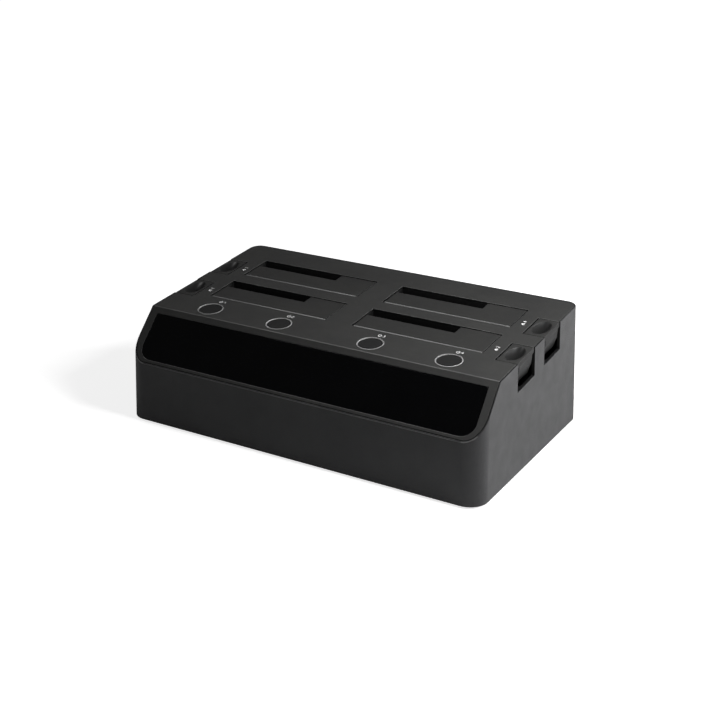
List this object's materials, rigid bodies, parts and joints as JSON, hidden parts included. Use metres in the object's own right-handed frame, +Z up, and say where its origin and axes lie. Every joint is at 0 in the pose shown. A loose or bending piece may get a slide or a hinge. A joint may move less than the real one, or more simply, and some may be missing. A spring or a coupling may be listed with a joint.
{
  "type": "drive duplicator",
  "caption": "Desktop drive dock with sprung bay flaps, ejector levers, lit power buttons and a glossy sloped front.",
  "frame": {"origin": "bottom centre of the overall box, on the resting surface", "axes": "+X to the right, +Y to the rear where the sockets are, +Z up"},
  "size_m": [0.2924, 0.1719, 0.0924],
  "materials": {
    "housing_plastic": "fine moulded texture",
    "cover_plastic": "fine moulded texture",
    "gloss_plastic": "polished",
    "flap_plastic": "fine moulded texture",
    "well_plastic": "plain",
    "button_plastic": "satin",
    "ring_plastic": "clear light guide",
    "steel": "bright",
    "foot_rubber": "matte",
    "board_laminate": "solder mask",
    "connector_plastic": "plain",
    "fan_plastic": "plain"
  },
  "bodies": {
    "base": {"top_cover": "cover_plastic", "housing_shell": "housing_plastic", "bottom_tray": "housing_plastic", "gloss_panel": "gloss_plastic", "main_board": "board_laminate", "button_board": "board_laminate", "push_switches": "connector_plastic", "light_ring_1": "ring_plastic", "light_ring_2": "ring_plastic", "light_ring_3": "ring_plastic", "light_ring_4": "ring_plastic", "drive_well_1": "well_plastic", "drive_well_2": "well_plastic", "drive_well_3": "well_plastic", "drive_well_4": "well_plastic", "drive_socket_1": "connector_plastic", "drive_socket_2": "connector_plastic", "drive_socket_3": "connector_plastic", "drive_socket_4": "connector_plastic", "flap_spring_1": "steel", "flap_spring_2": "steel", "flap_spring_3": "steel", "flap_spring_4": "steel", "eject_spring_1": "steel", "eject_spring_2": "steel", "eject_spring_3": "steel", "eject_spring_4": "steel", "flap_pins": "steel", "ejector_pins": "steel", "feet": "foot_rubber", "case_screws": "steel", "dc_jack": "connector_plastic", "esata_port": "steel", "usb_port": "steel", "fan_frame_1": "fan_plastic", "fan_frame_2": "fan_plastic", "fan_screws": "steel", "power_switch": "connector_plastic"},
    "flap_1": {"flap_1": "flap_plastic"},
    "eject_button_1": {"eject_button_1": "button_plastic"},
    "ejector_arm_1": {"ejector_arm_1": "button_plastic"},
    "flap_2": {"flap_2": "flap_plastic"},
    "eject_button_2": {"eject_button_2": "button_plastic"},
    "ejector_arm_2": {"ejector_arm_2": "button_plastic"},
    "flap_3": {"flap_3": "flap_plastic"},
    "eject_button_3": {"eject_button_3": "button_plastic"},
    "ejector_arm_3": {"ejector_arm_3": "button_plastic"},
    "flap_4": {"flap_4": "flap_plastic"},
    "eject_button_4": {"eject_button_4": "button_plastic"},
    "ejector_arm_4": {"ejector_arm_4": "button_plastic"},
    "power_button_1": {"power_button_1": "button_plastic"},
    "power_button_2": {"power_button_2": "button_plastic"},
    "power_button_3": {"power_button_3": "button_plastic"},
    "power_button_4": {"power_button_4": "button_plastic"},
    "switch_rocker": {"switch_rocker": "button_plastic"},
    "fan_rotor_1": {"fan_rotor_1": "fan_plastic"},
    "fan_rotor_2": {"fan_rotor_2": "fan_plastic"}
  },
  "joints": [
    {"name": "flap_1_hinge", "type": "hinge", "parent": "base", "child": "flap_1", "pos_m": [-0.0628, -0.01788, 0.08098], "axis": [1, 0, 0], "range_deg": [-95, 0], "stiffness_Nm_per_rad": 0.004, "springref_deg": 28.65},
    {"name": "eject_button_1_slide", "type": "slide", "parent": "base", "child": "eject_button_1", "axis": [0, 0, -1], "range_m": [0, 0.0034], "stiffness_N_per_m": 300, "springref_m": -0.003, "deforming": ["eject_spring_1"]},
    {"name": "ejector_arm_1_pivot", "type": "hinge", "parent": "base", "child": "ejector_arm_1", "pos_m": [-0.12149, -0.01213, 0.0175], "axis": [0, -1, 0], "range_deg": [0, 23]},
    {"name": "flap_2_hinge", "type": "hinge", "parent": "base", "child": "flap_2", "pos_m": [0.0628, -0.01788, 0.08098], "axis": [1, 0, 0], "range_deg": [-95, 0], "stiffness_Nm_per_rad": 0.004, "springref_deg": 28.65},
    {"name": "eject_button_2_slide", "type": "slide", "parent": "base", "child": "eject_button_2", "axis": [0, 0, -1], "range_m": [0, 0.0034], "stiffness_N_per_m": 300, "springref_m": -0.003, "deforming": ["eject_spring_2"]},
    {"name": "ejector_arm_2_pivot", "type": "hinge", "parent": "base", "child": "ejector_arm_2", "pos_m": [0.12149, -0.01213, 0.0175], "axis": [0, 1, 0], "range_deg": [0, 23]},
    {"name": "flap_3_hinge", "type": "hinge", "parent": "base", "child": "flap_3", "pos_m": [-0.0628, 0.02692, 0.0849], "axis": [1, 0, 0], "range_deg": [-95, 0], "stiffness_Nm_per_rad": 0.004, "springref_deg": 28.65},
    {"name": "eject_button_3_slide", "type": "slide", "parent": "base", "child": "eject_button_3", "axis": [0, 0, -1], "range_m": [0, 0.0034], "stiffness_N_per_m": 300, "springref_m": -0.003, "deforming": ["eject_spring_3"]},
    {"name": "ejector_arm_3_pivot", "type": "hinge", "parent": "base", "child": "ejector_arm_3", "pos_m": [-0.12149, 0.03267, 0.0175], "axis": [0, -1, 0], "range_deg": [0, 23]},
    {"name": "flap_4_hinge", "type": "hinge", "parent": "base", "child": "flap_4", "pos_m": [0.0628, 0.02692, 0.0849], "axis": [1, 0, 0], "range_deg": [-95, 0], "stiffness_Nm_per_rad": 0.004, "springref_deg": 28.65},
    {"name": "eject_button_4_slide", "type": "slide", "parent": "base", "child": "eject_button_4", "axis": [0, 0, -1], "range_m": [0, 0.0034], "stiffness_N_per_m": 300, "springref_m": -0.003, "deforming": ["eject_spring_4"]},
    {"name": "ejector_arm_4_pivot", "type": "hinge", "parent": "base", "child": "ejector_arm_4", "pos_m": [0.12149, 0.03267, 0.0175], "axis": [0, 1, 0], "range_deg": [0, 23]},
    {"name": "power_button_1_slide", "type": "slide", "parent": "base", "child": "power_button_1", "axis": [0, 0.0872, -0.9962], "range_m": [0, 0.001], "stiffness_N_per_m": 400, "springref_m": -0.001},
    {"name": "power_button_2_slide", "type": "slide", "parent": "base", "child": "power_button_2", "axis": [0, 0.0872, -0.9962], "range_m": [0, 0.001], "stiffness_N_per_m": 400, "springref_m": -0.001},
    {"name": "power_button_3_slide", "type": "slide", "parent": "base", "child": "power_button_3", "axis": [0, 0.0872, -0.9962], "range_m": [0, 0.001], "stiffness_N_per_m": 400, "springref_m": -0.001},
    {"name": "power_button_4_slide", "type": "slide", "parent": "base", "child": "power_button_4", "axis": [0, 0.0872, -0.9962], "range_m": [0, 0.001], "stiffness_N_per_m": 400, "springref_m": -0.001},
    {"name": "switch_rocker_tilt", "type": "hinge", "parent": "base", "child": "switch_rocker", "pos_m": [-0.126, 0.08128, 0.02636], "axis": [1, 0, 0], "range_deg": [0, 16]},
    {"name": "fan_1_spin", "type": "hinge", "parent": "base", "child": "fan_rotor_1", "pos_m": [-0.052, 0.08394, 0.05347], "axis": [0, 0.9994, 0.0349], "continuous": true},
    {"name": "fan_2_spin", "type": "hinge", "parent": "base", "child": "fan_rotor_2", "pos_m": [0.052, 0.08394, 0.05347], "axis": [0, 0.9994, 0.0349], "continuous": true}
  ],
  "couplings": [
    {"joint": "ejector_arm_1_pivot", "follows": "eject_button_1_slide", "rad_per_m": 117.65},
    {"joint": "ejector_arm_2_pivot", "follows": "eject_button_2_slide", "rad_per_m": 117.65},
    {"joint": "ejector_arm_3_pivot", "follows": "eject_button_3_slide", "rad_per_m": 117.65},
    {"joint": "ejector_arm_4_pivot", "follows": "eject_button_4_slide", "rad_per_m": 117.65}
  ]
}
